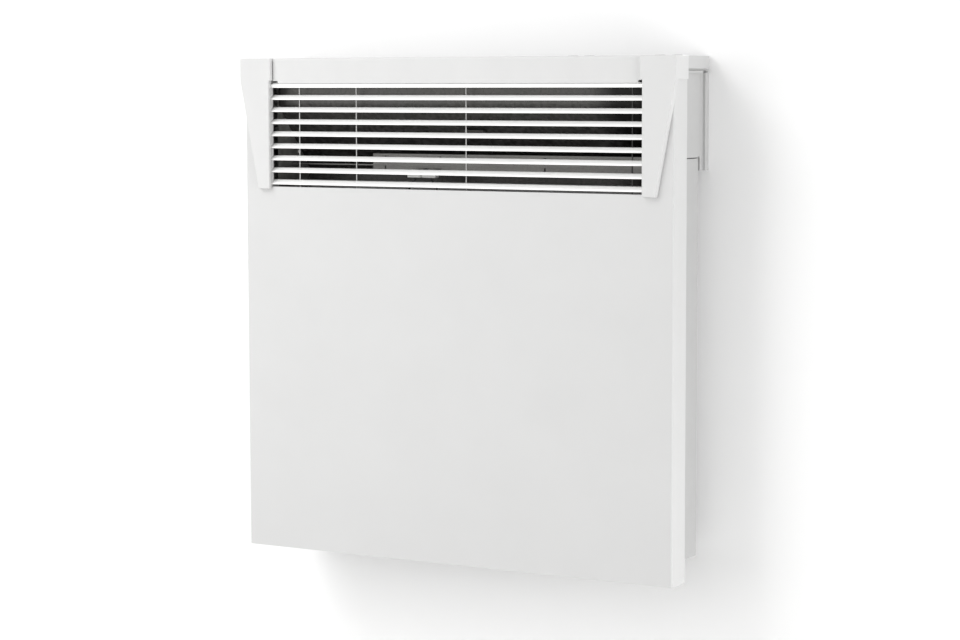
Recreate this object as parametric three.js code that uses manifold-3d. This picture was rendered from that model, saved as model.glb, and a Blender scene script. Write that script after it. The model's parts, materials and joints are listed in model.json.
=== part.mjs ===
// Wall panel convector heater. Millimetres, +Z up, front towards -Y.
// The origin is the middle of the wall bracket's rear face, on the wall.
// Inside the assembly group x = 0 is the middle of the heater, y = 0 the face of the front panel,
// y = WALL the wall, and z = 0 the panel's lower edge.
import * as THREE from 'three';
import { mergeVertices } from 'three/addons/utils/BufferGeometryUtils.js';
import Module from 'manifold-3d';

const wasm = await Module();
wasm.setup();

// ---------------------------------------------------------------- driving dimensions
const WALL = 82;
const BRACKET_MIDDLE = 394;
const GAP = 0.3;

const PANEL = { half: 217, top: 447, sheet: 1.2, returnDepth: 26.8, hem: 6, foot: 20 };
const WINDOW = { half: 192.4, bottom: 333.5, bridgeFront: 1.6, lipHalf: 188.2, lipDepth: 6.5 };

const CAP = {
  inner: 188.7, outer: 220.1, foot: 201, bottom: 331.6, knee: 430.5, top: 450.3,
  face: -4, rear: 21.2, wall: 1.8, wrap: 2.8, draft: 0.8, edge: 0.5,
  stepInner: 186.7, step: 430, ribs: [352, 378, 404], ribWall: 1.4,
};
const TRIM = {
  half: 186.4, bottom: 427.4, middle: 0.45, sheet: 1.5,
  notchLow: 428, notchHigh: 429.7, notchLeft: -181, notchRight: 183.4,
};
const COVER = { half: 212.6, front: 21.5, rear: 81.7, bottom: 439.4, top: 450.3, wall: 1.8, corner: 3 };

const BLADE = {
  count: 9, pitch: 11, top: 423.6, half: 190, sheet: 1, bend: 0.7,
  nose: 1.2, ramp: 5.2, rampRise: 3.7, chord: 6.6, rise: 4, firstRise: 3,
};
const COMB = { inner: 188.7, tooth: 190.3, outer: 192, toothDepth: 3, depth: 5, bottom: 334, top: 430 };
const FRAME_RAIL = { front: 9.2, rear: 12, low: 326, lowTop: 333, highBottom: 429.8, high: 436 };
const FRAME_ARM = { inner: 188.9, front: 2, lowTop: 336, highBottom: 428.4 };
const STAY = { xs: [-162.3, -101.2, 12.6, 174.6], width: 0.8, front: 6.9, rear: 7.9, seat: 8.9 };

const BOX = { half: 208.6, sheet: 1.2, rear: 68, bottom: 16.7, flange: 24.7, flangeHalf: 215.2 };
const CHEEK = {
  bottom: 363.4, top: 437.7, wall: 1.8, rear: 69.7, front: 24, lip: 2, lipHalf: 211.5,
  return: 10, returnWall: 1.4, holeY: 67.8, holeRadius: 1.2, ribs: [385, 410], ribReach: 4, ribWall: 1.6,
};
const SEAM = 0.8;
const BACK_HALF = 206.2;
const VENT = { xs: [-120, -60, 0, 60, 120], zs: [62, 76, 340], half: 22, height: 5, radius: 2.4 };

const HOOK = { x: 120, width: 24, level: 400, sheet: 1.6, lip: 9, reach: 62 };
const HOOK_SLOT = { width: 27, height: 18 };
const RAIL = { half: 195.7, bottom: 356, top: 432, front: 72, sheet: 1.5 };
const BRACKET_END = {
  inner: 196, tongueHalf: 208.6, half: 211.2, front: 70, step: 75, bottom: 352, top: 436, wall: 1.6,
};
const SCREW_SLOT = { xs: [-165, -60, 60, 165], z: 382, wide: 4.5, narrow: 2.4, rise: 12 };
const SPACER = { x: 170, z: 45, hole: 3.5 };

const DEFLECTOR = {
  half: 190, sheet: 0.8, bend: 8, rear: 65, front: 14.6, bottom: 338, knee: 350, shoulder: 408, top: 435,
};
const DUCT_END = { inner: 190.4, sheet: 0.8, front: 14, rear: 66, bottom: 330, top: 428 };
const CROSS = {
  left: -101, half: 190, y: 35.5, bottom: 353.1, top: 364, sheet: 1, depth: 8.5, slots: [-88, -30, 76],
};
const SENSOR_PLATE = { x0: -2, x1: 18, low: 366, high: 387, lip: 4 };
const CUTOUT = { x: -45, y: 42, radius: 7.5, bottom: 345, top: 352.8 };
const SLEEVE = { front: 26, rear: 33, bottom: 343, top: 350, wall: 1 };
const ELEMENT = { half: 160, y: 34, z: 110, arm: 27.4, armSheet: 2, hub: 7, bore: 3.4, lean: 36 };
const ROD = { radius: 3, half: 182, pinRadius: 1.5, pin: 6 };
const ELEMENT_BRACKET = { x: 168.9, sheet: 1.2, front: 18, rear: 65.8, foot: 182, low: 86, high: 134 };
const SHIELD = { half: 165, sheet: 0.8, y: 61, low: 42, high: 327 };

const FLOOR = { z: 18, sheet: 1.2, half: 206.6, front: 14, rear: 66, rise: 10 };
const INLET = { columns: 20, rows: 2, pitch: 13, length: 20, width: 5, left: -172, margin: 4 };
const SWITCH = { x: 150, y: 40, pivot: 24, tilt: 8, holeHalfX: 9.5, holeHalfY: 7.1 };
const GLAND = { x: 186, y: 46, hole: 6.9 };
const SENSOR = { x: -186, y: 40, hole: 2.9 };
const TERMINALS = { x0: 100, x1: 132, y0: 40, y1: 56, height: 14 };

const TRAY = { x0: 84, x1: 205.8, y0: 34, y1: 66, bottom: 424, top: 446, wall: 1.6, ledge: 8, post: 4 };
const BOARD = { x0: 88, x1: 202, y0: 37, y1: 63, z: 436, sheet: 1.6 };
const RELAY = { x: 132, y: 43, length: 20, width: 14, height: 8.5 };
const PLUG = { x: 172, y: 42, length: 14, width: 6, height: 7 };
const DISPLAY = { x0: 124, x1: 168, y0: 41, y1: 59, flange: 2.5 };
const BUTTONS = { power: 96, down: 112, up: 180, mode: 196 };
const BUTTON = { y: 50, radius: 5, flange: 6.2, hole: 5.3, proud: 1.1 };

// ---------------------------------------------------------------- shapes and solids
function shapeOf(points) {
  return new THREE.Shape(points.map(([u, v]) => new THREE.Vector2(u, v)));
}

function extruded(points, depth) {
  return new THREE.ExtrudeGeometry(shapeOf(points), { depth, bevelEnabled: false });
}

// Plan outline (x, y), drawn up from z0 to z1.
function upright(points, z0, z1) {
  return extruded(points, z1 - z0).translate(0, 0, z0);
}

// Side outline (y, z), drawn along X from x0 to x1.
function lengthwise(points, x0, x1) {
  const turn = new THREE.Matrix4().set(0, 0, 1, x0, 1, 0, 0, 0, 0, 1, 0, 0, 0, 0, 0, 1);
  return extruded(points, x1 - x0).applyMatrix4(turn);
}

// Front outline (x, z), drawn from y0 at the front to y1 at the rear.
function facing(points, y0, y1) {
  return extruded(points, y1 - y0).rotateX(Math.PI / 2).translate(0, y1, 0);
}

function block(x0, x1, y0, y1, z0, z1) {
  const size = new THREE.BoxGeometry(x1 - x0, y1 - y0, z1 - z0);
  return size.translate((x0 + x1) / 2, (y0 + y1) / 2, (z0 + z1) / 2);
}

function ring(u, v, radius, sides) {
  return Array.from({ length: sides }, (_, i) => {
    const angle = (2 * Math.PI * (i + 0.5)) / sides;
    return [u + radius * Math.cos(angle), v + radius * Math.sin(angle)];
  });
}

function roundedRectangle(x0, x1, y0, y1, radius, steps = 3) {
  const corners = [[x1, y1, 0], [x0, y1, 1], [x0, y0, 2], [x1, y0, 3]];
  return corners.flatMap(([x, y, quarter]) => {
    const cx = x + (x === x1 ? -radius : radius);
    const cy = y + (y === y1 ? -radius : radius);
    return Array.from({ length: steps + 1 }, (_, i) => {
      const angle = (Math.PI / 2) * (quarter + i / steps);
      return [cx + radius * Math.cos(angle), cy + radius * Math.sin(angle)];
    });
  });
}

// Replaces each inner corner of an open line by an arc.
function filleted(points, radius, steps) {
  const line = points.map(([u, v]) => new THREE.Vector2(u, v));
  const out = [line[0]];
  for (let i = 1; i < line.length - 1; i++) {
    const back = line[i - 1].clone().sub(line[i]).normalize();
    const on = line[i + 1].clone().sub(line[i]).normalize();
    const half = Math.acos(back.dot(on)) / 2;
    const centre = back.clone().add(on).normalize().multiplyScalar(radius / Math.sin(half)).add(line[i]);
    const start = back.clone().multiplyScalar(radius / Math.tan(half)).add(line[i]).sub(centre);
    const sweep = Math.sign(back.cross(on)) * (2 * half - Math.PI);
    for (let k = 0; k <= steps; k++) {
      out.push(start.clone().rotateAround(new THREE.Vector2(), (sweep * k) / steps).add(centre));
    }
  }
  out.push(line[line.length - 1]);
  return out;
}

// Outline of a bent sheet: the middle line, its bends rounded, thickened to both sides.
function folded(points, sheet, bend = 1.5, steps = 3) {
  const line = filleted(points, bend, steps);
  const side = (sign) => line.map((p, i) => {
    const before = line[Math.max(i - 1, 0)];
    const after = line[Math.min(i + 1, line.length - 1)];
    const a = p.clone().sub(before).normalize();
    const b = after.clone().sub(p).normalize();
    const along = a.clone().add(b).normalize();
    const stretch = a.lengthSq() && b.lengthSq() ? Math.sqrt((1 + a.dot(b)) / 2) : 1;
    const offset = (sign * sheet) / 2 / stretch;
    return [p.x - along.y * offset, p.y + along.x * offset];
  });
  return [...side(1), ...side(-1).reverse()];
}

function plain(geometry) {
  const bare = geometry.clone();
  bare.deleteAttribute('normal');
  bare.deleteAttribute('uv');
  const merged = mergeVertices(bare, 1e-4);
  const index = [];
  const old = merged.index.array;
  for (let i = 0; i < old.length; i += 3) {
    const [a, b, c] = [old[i], old[i + 1], old[i + 2]];
    if (a !== b && b !== c && c !== a) index.push(a, b, c);
  }
  merged.setIndex(index);
  return merged;
}

function solid(geometry) {
  const { attributes, index } = plain(geometry);
  const vertProperties = new Float32Array(attributes.position.array);
  const triVerts = new Uint32Array(index.array);
  return new wasm.Manifold(new wasm.Mesh({ numProp: 3, vertProperties, triVerts }));
}

function geometryOf(body) {
  const { vertProperties, triVerts } = body.getMesh();
  const geometry = new THREE.BufferGeometry();
  geometry.setAttribute('position', new THREE.BufferAttribute(vertProperties, 3));
  geometry.setIndex(new THREE.BufferAttribute(triVerts, 1));
  geometry.computeVertexNormals();
  return geometry;
}

function join(...geometries) {
  return geometryOf(geometries.map(solid).reduce((body, other) => body.add(other)));
}

function cut(geometry, ...tools) {
  return geometryOf(tools.map(solid).reduce((body, tool) => body.subtract(tool), solid(geometry)));
}

// The same geometry for the other side of the heater.
function mirrored(geometry) {
  const other = plain(geometry).scale(-1, 1, 1);
  const index = other.index.array;
  for (let i = 0; i < index.length; i += 3) {
    [index[i + 1], index[i + 2]] = [index[i + 2], index[i + 1]];
  }
  return other;
}

function forSide(side, geometry) {
  return side < 0 ? mirrored(geometry) : geometry;
}

// Turned piece about the vertical axis through (x, y); the profile holds (radius, z) pairs.
function turned(profile, x = 0, y = 0, segments = 20) {
  const points = profile.map(([radius, z]) => new THREE.Vector2(radius, z));
  return plain(new THREE.LatheGeometry(points, segments)).rotateX(Math.PI / 2).translate(x, y, 0);
}

// Turned piece about an axis along Y; the profile holds (radius, y) pairs.
function turnedFacing(profile, x, z, segments = 20) {
  return turned(profile, 0, 0, segments).rotateX(-Math.PI / 2).translate(x, 0, z);
}

// Loft between outlines of equal length, each at its own y.
function lofted(sections) {
  const count = sections[0].points.length;
  const positions = sections.flatMap(({ y, points }) => points.flatMap(([x, z]) => [x, y, z]));
  const index = [];
  for (let s = 0; s < sections.length - 1; s++) {
    for (let i = 0; i < count; i++) {
      const a = s * count + i;
      const b = s * count + ((i + 1) % count);
      index.push(a, b + count, b, a, a + count, b + count);
    }
  }
  const outline = sections[0].points.map(([x, z]) => new THREE.Vector2(x, z));
  const last = (sections.length - 1) * count;
  for (const [a, b, c] of THREE.ShapeUtils.triangulateShape(outline, [])) {
    index.push(a, b, c);
    index.push(last + a, last + c, last + b);
  }
  const geometry = new THREE.BufferGeometry();
  geometry.setAttribute('position', new THREE.Float32BufferAttribute(positions, 3));
  geometry.setIndex(index);
  return geometry;
}

function tube(points, radius, steps = 22) {
  const path = new THREE.CatmullRomCurve3(points.map((p) => new THREE.Vector3(...p)), false, 'centripetal');
  return new THREE.ExtrudeGeometry(shapeOf(ring(0, 0, radius, 6)), { steps, extrudePath: path });
}

// ---------------------------------------------------------------- materials and naming
const FINISH = {
  panelWhite: [0xe9e9e7, 0.42, 0.05],
  boxWhite: [0xe2e2e0, 0.45, 0.05],
  plasticWhite: [0xefefee, 0.5, 0],
  bladeWhite: [0xf6f6f4, 0.4, 0.05],
  galvanised: [0xa6a9ab, 0.45, 0.8],
  aluminium: [0xb9bcbf, 0.35, 0.9],
  steel: [0x8c8f92, 0.4, 0.85],
  ceramic: [0xe8e3d8, 0.7, 0],
  darkPlastic: [0x2c2d2f, 0.5, 0],
  board: [0x1f5a36, 0.6, 0],
  glass: [0x0c0d0f, 0.12, 0],
  sleeve: [0xf2f2ee, 0.55, 0],
  lead: [0x9a4a26, 0.6, 0],
  leadBlue: [0x2c4c86, 0.6, 0],
};

function piece(name, geometry, finish) {
  const [color, roughness, metalness] = FINISH[finish];
  const mesh = new THREE.Mesh(geometry, new THREE.MeshStandardMaterial({ color, roughness, metalness }));
  mesh.name = name;
  return mesh;
}

const SIDES = [['left', -1], ['right', 1]];

// ---------------------------------------------------------------- casing
// One sheet folded into side returns with hems and a bottom return. Its window is open to the top, where
// a return bridges it, and has a lip along its lower edge.
function frontPanel() {
  const { half, top, sheet, returnDepth, hem, foot } = PANEL;
  const mid = sheet / 2;
  const side = half - mid;
  const back = returnDepth - mid;
  const plan = [
    [hem - half, back], [-side, back], [-side, mid], [side, mid], [side, back], [half - hem, back],
  ];
  const skin = upright(folded(plan, sheet), 0, top);
  const bottomReturn = block(-side, side, mid, foot, 0, sheet);
  const inset = WINDOW.half + 1;
  const bridgePlan = [
    [-side, foot], [-side, mid], [-inset, mid], [-inset, WINDOW.bridgeFront],
    [inset, WINDOW.bridgeFront], [inset, mid], [side, mid], [side, foot],
  ];
  const bridge = upright(bridgePlan, top - GAP - sheet, top - GAP);
  const lipTop = WINDOW.bottom;
  const lip = block(-WINDOW.lipHalf, WINDOW.lipHalf, mid, WINDOW.lipDepth, lipTop - sheet, lipTop);
  const window = block(-WINDOW.half, WINDOW.half, -1, sheet + 1, lipTop, top + 1);
  const clear = half - sheet - 0.1;
  const hemCut = block(half - hem - 1, clear, back - 1, returnDepth + 1, CHEEK.top - CHEEK.lip - 1, top + 1);
  return join(cut(skin, window, hemCut, mirrored(hemCut)), bottomReturn, bridge, lip);
}

// Front outline of an end cap: stepped inner edge, outer edge slanting in from the knee to the foot.
function capOutline(inset, draft = 0) {
  const lean = (CAP.outer - CAP.foot) / (CAP.knee - CAP.bottom);
  const outer = CAP.outer - inset;
  const shift = CAP.foot + draft - inset * Math.hypot(1, lean);
  return [
    [CAP.inner + inset, CAP.bottom + inset],
    [shift + lean * inset, CAP.bottom + inset],
    [outer, CAP.bottom + (outer - shift) / lean],
    [outer, CAP.top - inset],
    [CAP.stepInner + inset, CAP.top - inset],
    [CAP.stepInner + inset, CAP.step + inset],
    [CAP.inner + inset, CAP.step + inset],
  ];
}

// Moulded shell standing proud of the panel, wrapped over the panel's top corner.
function endCap() {
  const shell = lofted([
    { y: CAP.face, points: capOutline(CAP.edge) },
    { y: CAP.face + CAP.edge, points: capOutline(0) },
    { y: -GAP, points: capOutline(0, CAP.draft) },
  ]);
  const hollow = facing(capOutline(CAP.wall), CAP.face + CAP.wall, 1);
  const wrap = block(CAP.outer - CAP.wrap, CAP.outer, CAP.face + 1, CAP.rear, CAP.knee, CAP.top);
  const roof = block(CAP.stepInner, CAP.outer, CAP.face + 1, CAP.rear, PANEL.top + GAP, CAP.top);
  const ribs = CAP.ribs.map((z) => {
    const end = CAP.foot + ((CAP.outer - CAP.foot) * (z - CAP.bottom)) / (CAP.knee - CAP.bottom);
    return block(CAP.inner + 1, end - 1, CAP.face + 1, -GAP, z, z + CAP.ribWall);
  });
  return join(cut(shell, hollow), wrap, roof, ...ribs);
}

// Moulded strip over the window, turned back over the panel's top, with a snap notch at each end.
function topTrim() {
  const { half, bottom, middle, sheet, notchLow, notchHigh, notchLeft, notchRight } = TRIM;
  const roof = CAP.top - sheet / 2;
  const profile = folded([[middle, bottom], [middle, roof], [CAP.rear, roof]], sheet, 1);
  const notch = (x0, x1) => block(x0, x1, middle - sheet, middle + sheet, notchLow, notchHigh);
  return cut(lengthwise(profile, -half, half), notch(-half - 1, notchLeft), notch(notchRight, half + 1));
}

// Shell over the heater's back, open below, with the openings for the display and the buttons.
function topCover() {
  const { half, front, rear, bottom, top, wall, corner } = COVER;
  const outer = upright(roundedRectangle(-half, half, front, rear, corner), bottom, top);
  const inner = roundedRectangle(wall - half, half - wall, front + wall, rear - wall, corner - 1);
  const hollow = upright(inner, bottom - 1, top - wall);
  const { x0, x1, y0, y1 } = DISPLAY;
  const opening = block(x0 - GAP, x1 + GAP, y0 - GAP, y1 + GAP, bottom, top + 1);
  const holes = Object.values(BUTTONS).map((x) => (
    upright(ring(x, BUTTON.y, BUTTON.hole, 20), bottom, top + 1)));
  const ribs = [-150, -75, 0, 60].map((x) => block(x, x + wall, front + 1, rear - 1, top - 5, top - 1));
  return join(cut(outer, hollow, opening, ...holes), ...ribs);
}

// Upper side moulding with a lip along its top, a return behind the back sheet and a seam hole.
function cheek() {
  const { bottom, top, wall, rear, front, lip, lipHalf, returnWall, holeY, holeRadius } = CHEEK;
  const inner = BOX.half - wall;
  const side = block(inner, BOX.half, front, rear, bottom, top);
  const flange = block(inner, BOX.flangeHalf, front, BOX.flange + 0.6, bottom, top);
  const back = block(BOX.half - CHEEK.return, BOX.half, rear - returnWall, rear, bottom, top);
  const ledge = block(inner, lipHalf, front, rear, top - lip, top);
  const ribs = CHEEK.ribs.map((z) => (
    block(inner - CHEEK.ribReach, inner + 0.5, front + 6, BOX.rear - 4, z, z + CHEEK.ribWall)));
  const hole = lengthwise(ring(holeY, bottom, holeRadius, 12), BOX.half - 4, BOX.half + 4);
  return cut(join(side, flange, back, ledge, ...ribs), hole);
}

// Folded sheet: back, two sides and their outward flanges; the back runs up between the cheeks.
function chassis() {
  const { half, sheet, rear, bottom, flange, flangeHalf } = BOX;
  const side = half - sheet / 2;
  const back = rear - sheet / 2;
  const plan = [
    [-flangeHalf, flange], [-side, flange], [-side, back], [side, back], [side, flange], [flangeHalf, flange],
  ];
  const top = CHEEK.bottom - SEAM;
  const lower = upright(folded(plan, sheet, 2), bottom, top);
  const upper = block(-BACK_HALF, BACK_HALF, rear - sheet, rear, top - 10, CHEEK.top - GAP);
  const slotTop = HOOK.level + HOOK.sheet / 2 + GAP;
  const slotHalf = HOOK_SLOT.width / 2;
  const slots = [-HOOK.x, HOOK.x].map((x) => (
    block(x - slotHalf, x + slotHalf, rear - 3, rear + 3, slotTop - HOOK_SLOT.height, slotTop)));
  const throughBack = (points) => facing(points, rear - 3, rear + 3);
  const spacerHoles = [-SPACER.x, SPACER.x].map((x) => throughBack(ring(x, SPACER.z, SPACER.hole, 12)));
  const vents = VENT.xs.flatMap((x) => VENT.zs.map((z) => (
    throughBack(roundedRectangle(x - VENT.half, x + VENT.half, z, z + VENT.height, VENT.radius, 2)))));
  return cut(join(lower, upper), ...slots, ...spacerHoles, ...vents);
}

// Floor of the chassis: a channel with rows of inlet slots and cut-outs for what passes through it.
function inletGrille() {
  const { z, sheet, half, front, rear, rise } = FLOOR;
  const line = [[front, z + rise], [front, z], [rear, z], [rear, z + rise]];
  const slots = [];
  for (let column = 0; column < INLET.columns; column++) {
    for (let row = 0; row < INLET.rows; row++) {
      const x = INLET.left + column * INLET.pitch;
      const y = front + INLET.margin + row * (INLET.length + INLET.margin);
      slots.push(block(x, x + INLET.width, y, y + INLET.length, z - 2, z + 2));
    }
  }
  const { x, y, holeHalfX, holeHalfY } = SWITCH;
  const switchHole = block(x - holeHalfX, x + holeHalfX, y - holeHalfY, y + holeHalfY, z - 2, z + 2);
  const glandHole = upright(ring(GLAND.x, GLAND.y, GLAND.hole, 16), z - 2, z + 2);
  const sensorHole = upright(ring(SENSOR.x, SENSOR.y, SENSOR.hole, 12), z - 2, z + 2);
  return cut(lengthwise(folded(line, sheet), -half, half), ...slots, switchHole, glandHole, sensorHole);
}

// Moulded foot that keeps the bottom off the wall, snapped into the back sheet.
function wallSpacer(x) {
  const seat = BOX.rear + GAP;
  const inside = BOX.rear - BOX.sheet - GAP;
  const profile = [
    [0, inside - 4.5], [2, inside - 4.5], [4.2, inside - 2], [4.2, inside], [3.2, inside], [3.2, seat],
    [14, seat], [14, seat + 2], [9.5, seat + 3.5], [8.5, WALL - 1], [7.5, WALL], [0, WALL],
  ];
  return turnedFacing(profile, x, SPACER.z, 16);
}

// ---------------------------------------------------------------- outlet grille
// Middle line of a blade: upright nose, ramp up to the rear, short rear lip. The first blade's nose is
// as high as the blade and closes the window under the trim.
function bladeLine(index, extra) {
  const mid = BLADE.sheet / 2;
  const rear = BLADE.chord + extra;
  if (index === 0) return [[mid, -extra], [mid, BLADE.firstRise], [rear, BLADE.firstRise]];
  return [[mid, -extra], [mid, BLADE.nose], [BLADE.ramp, BLADE.rampRise], [rear, BLADE.rise]];
}

function bladeBottom(index) {
  return BLADE.top - index * BLADE.pitch;
}

function bladeBar(index, half, spare) {
  const outline = folded(bladeLine(index, spare), BLADE.sheet + 2 * spare, BLADE.bend, 2);
  return lengthwise(outline, -half, half).translate(0, 0, bladeBottom(index));
}

// End combs with pockets for the blades, tied by arms to a rail below and a rail above the window.
function grilleFrame() {
  const { inner, tooth, outer, toothDepth, depth, bottom, top } = COMB;
  const { front, rear, low, lowTop, highBottom, high } = FRAME_RAIL;
  const teeth = block(inner, tooth, 0, toothDepth, bottom, top);
  const spine = block(tooth - 0.5, outer, 0, depth, bottom, top);
  const arm = (z0, z1) => block(FRAME_ARM.inner, outer, FRAME_ARM.front, rear, z0, z1);
  const comb = join(teeth, spine, arm(low, FRAME_ARM.lowTop), arm(FRAME_ARM.highBottom, high));
  const rail = (z0, z1) => block(-outer, outer, front, rear, z0, z1);
  const pockets = Array.from({ length: BLADE.count }, (_, i) => bladeBar(i, BLADE.half + GAP, GAP));
  return cut(join(comb, mirrored(comb), rail(low, lowTop), rail(highBottom, high)), ...pockets);
}

// Thin upright bar behind the blades, thicker where it is seated on the two rails.
function stay(x) {
  const { width, front, rear, seat } = STAY;
  const foot = FRAME_RAIL.low + 2;
  const head = FRAME_RAIL.high - 2;
  const outline = [
    [front, foot], [seat, foot], [seat, FRAME_RAIL.lowTop], [rear, FRAME_RAIL.lowTop],
    [rear, FRAME_RAIL.highBottom], [seat, FRAME_RAIL.highBottom], [seat, head], [front, head],
  ];
  return lengthwise(outline, x - width / 2, x + width / 2);
}

// ---------------------------------------------------------------- air path
// Sheet that leads the rising air forward to the grille.
function airDeflector() {
  const { half, sheet, bend, rear, front, bottom, knee, shoulder, top } = DEFLECTOR;
  const line = [[rear, bottom], [rear, knee], [front, shoulder], [front, top]];
  return lengthwise(folded(line, sheet, bend, 4), -half, half);
}

// Point (y, z) of the deflector's slope at a height, moved forward off the slope.
function onSlope(height, off) {
  const run = DEFLECTOR.rear - DEFLECTOR.front;
  const fall = DEFLECTOR.shoulder - DEFLECTOR.knee;
  const length = Math.hypot(run, fall);
  const y = DEFLECTOR.front + ((DEFLECTOR.shoulder - height) * run) / fall;
  return [y - (off * fall) / length, height - (off * run) / length];
}

function ductEnd() {
  const { inner, sheet, front, rear, bottom, top } = DUCT_END;
  const outline = [
    [front, bottom], [rear, bottom], [rear, DEFLECTOR.knee + 6], [front + 8, top - 10], [front + 4, top],
    [front, top],
  ];
  return lengthwise(outline, inner, inner + sheet);
}

// Angle behind the grille with slots in its web; its foot reaches both duct ends.
function crossRail() {
  const { left, half, y, bottom, top, sheet, depth, slots } = CROSS;
  const web = block(left, half, y - sheet / 2, y + sheet / 2, bottom, top);
  const foot = block(-half, half, y - sheet / 2, y + depth, bottom, bottom + sheet);
  return cut(join(web, foot), ...slots.map((x) => block(x - 1, x + 1, y - 2, y + 2, bottom + 3, top - 2)));
}

// Leaning plate on the deflector with a lip turned forward along its top.
function sensorPlate() {
  const { x0, x1, low, high, lip } = SENSOR_PLATE;
  const off = (DEFLECTOR.sheet + CROSS.sheet) / 2 + GAP;
  const top = onSlope(high, off);
  return lengthwise(folded([onSlope(low, off), top, [top[0] - lip, top[1] - 1]], CROSS.sheet, 1), x0, x1);
}

// Overheat cut-out: round body under the cross rail with two terminal tabs towards the front.
function thermalCutout() {
  const { x, y, radius, bottom, top } = CUTOUT;
  const body = turned([[0, bottom], [radius, bottom], [radius, top - 2], [5, top], [0, top]], x, y, 16);
  const tab = (centre) => block(centre - 3, centre + 3, SLEEVE.rear + GAP, y - 2, bottom + 0.8, bottom + 2);
  return join(body, tab(x - 5.5), tab(x + 5.5));
}

function terminalSleeve(x0, x1) {
  const { front, rear, bottom, top, wall } = SLEEVE;
  const outer = upright(roundedRectangle(x0, x1, front, rear, 1.5, 2), bottom, top);
  const mouth = block(x0 + wall + 1, x1 - wall - 1, front + 2, rear + 1, bottom + wall, top - wall);
  return cut(outer, mouth);
}

// ---------------------------------------------------------------- heating unit
// Extruded aluminium body: a hub with four leaning arms, each carrying three cross fins.
function heatingElement() {
  const { half, arm, armSheet, hub, bore, lean } = ELEMENT;
  const parts = [lengthwise(ring(0, 0, hub, 12), -half, half)];
  for (const angle of [lean, -lean, 180 - lean, 180 + lean]) {
    const turn = (bar) => bar.rotateX(THREE.MathUtils.degToRad(angle));
    parts.push(turn(block(-half, half, -armSheet / 2, armSheet / 2, 2, arm)));
    for (const [reach, spread] of [[12, 4], [19, 5.5], [26, 7]]) {
      parts.push(turn(block(-half, half, -spread, spread, reach, reach + 1.4)));
    }
  }
  const passage = lengthwise(ring(0, 0, bore, 12), -half - 1, half + 1);
  return cut(join(...parts), passage).translate(0, ELEMENT.y, ELEMENT.z);
}

function turnedAlong(profile, segments = 14) {
  return turned(profile, 0, 0, segments).rotateY(Math.PI / 2).translate(0, ELEMENT.y, ELEMENT.z);
}

// Sheathed heating rod with a stepped terminal pin at each end.
function elementRod() {
  const { radius, half, pinRadius, pin } = ROD;
  const body = half - pin;
  const profile = [
    [0, -half], [pinRadius, -half], [pinRadius, -body], [radius, -body],
    [radius, body], [pinRadius, body], [pinRadius, half], [0, half],
  ];
  return turnedAlong(profile, 12);
}

// Ceramic bush that carries the rod in its bracket.
function elementHolder() {
  const x0 = ELEMENT.half + 0.6;
  const shoulder = ELEMENT_BRACKET.x - ELEMENT_BRACKET.sheet / 2 - GAP;
  const bore = ROD.radius + GAP;
  const end = shoulder + 4.5;
  return turnedAlong([[bore, x0], [9, x0], [9, shoulder], [6, shoulder], [6, end], [bore, end], [bore, x0]]);
}

function elementBracket() {
  const { x, sheet, front, rear, foot, low, high } = ELEMENT_BRACKET;
  const plate = upright(folded([[x, front], [x, rear], [foot, rear]], sheet), low, high);
  const hole = lengthwise(ring(ELEMENT.y, ELEMENT.z, 6.3, 14), x - 3, x + 3);
  const window = lengthwise(roundedRectangle(50, 60, 94, 126, 3, 2), x - 3, x + 3);
  return cut(plate, hole, window);
}

// Reflecting sheet behind the element, with two pressed beads and four stand-off dimples.
function heatShield() {
  const { half, sheet, y, low, high } = SHIELD;
  const beads = [150, 240].flatMap((z) => [[y, z], [y - 2, z + 3], [y, z + 6]]);
  const line = [[y - 5, low], [y, low + 5], ...beads, [y, high - 5], [y - 5, high]];
  const skin = lengthwise(folded(line, sheet, 1, 2), -half, half);
  const reach = BOX.rear - BOX.sheet - GAP;
  const dimples = [[-140, 80], [140, 80], [-140, 300], [140, 300]].map(([x, z]) => (
    facing(ring(x, z, 4, 10), y, reach)));
  return join(skin, ...dimples);
}

// ---------------------------------------------------------------- supply side
// Rocker housing clipped into the floor, open below, with a bezel.
function rockerHousing() {
  const { x, y, pivot } = SWITCH;
  const floorLow = FLOOR.z - FLOOR.sheet / 2;
  const body = block(x - 9.2, x + 9.2, y - 6.8, y + 6.8, floorLow - 1, pivot + 8);
  const bezel = block(x - 11, x + 11, y - 8.5, y + 8.5, floorLow - GAP - 1.5, floorLow - GAP);
  const well = block(x - 7.7, x + 7.7, y - 5.3, y + 5.3, 10, pivot + 5.6);
  const bearing = facing(ring(x, pivot, 1.6, 12), y - 6.3, y + 6.3);
  const tabs = [x - 5, x + 5].map((at) => (
    block(at - 2.4, at + 2.4, y - 0.4, y + 0.4, pivot + 7, pivot + 15)));
  return join(cut(join(body, bezel), well, bearing), ...tabs);
}

// Rocker seen from the side, two faces meeting at the middle, with its pivot pins; rests tilted.
function rocker() {
  const { x, y, pivot, tilt } = SWITCH;
  const side = [[-6.2, -8.2], [0, -9.6], [6.2, -8.2], [5, 3], [-5, 3]];
  const key = facing(side, -5, 5);
  const pins = facing(ring(0, 0, 1.3, 12), -6, 6);
  return join(key, pins).rotateY(THREE.MathUtils.degToRad(tilt)).translate(x, y, pivot);
}

// Gland for the supply lead, clamped through the floor.
function cableGland() {
  const low = FLOOR.z - FLOOR.sheet / 2 - GAP;
  const high = FLOOR.z + FLOOR.sheet / 2 + GAP;
  const profile = [
    [3.6, low - 11], [6.2, low - 11], [7.6, low - 9.5], [7.6, low], [6.6, low], [6.6, high],
    [8.6, high], [8.6, high + 3.6], [3.6, high + 3.6], [3.6, low - 11],
  ];
  return turned(profile, GLAND.x, GLAND.y, 16);
}

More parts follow.
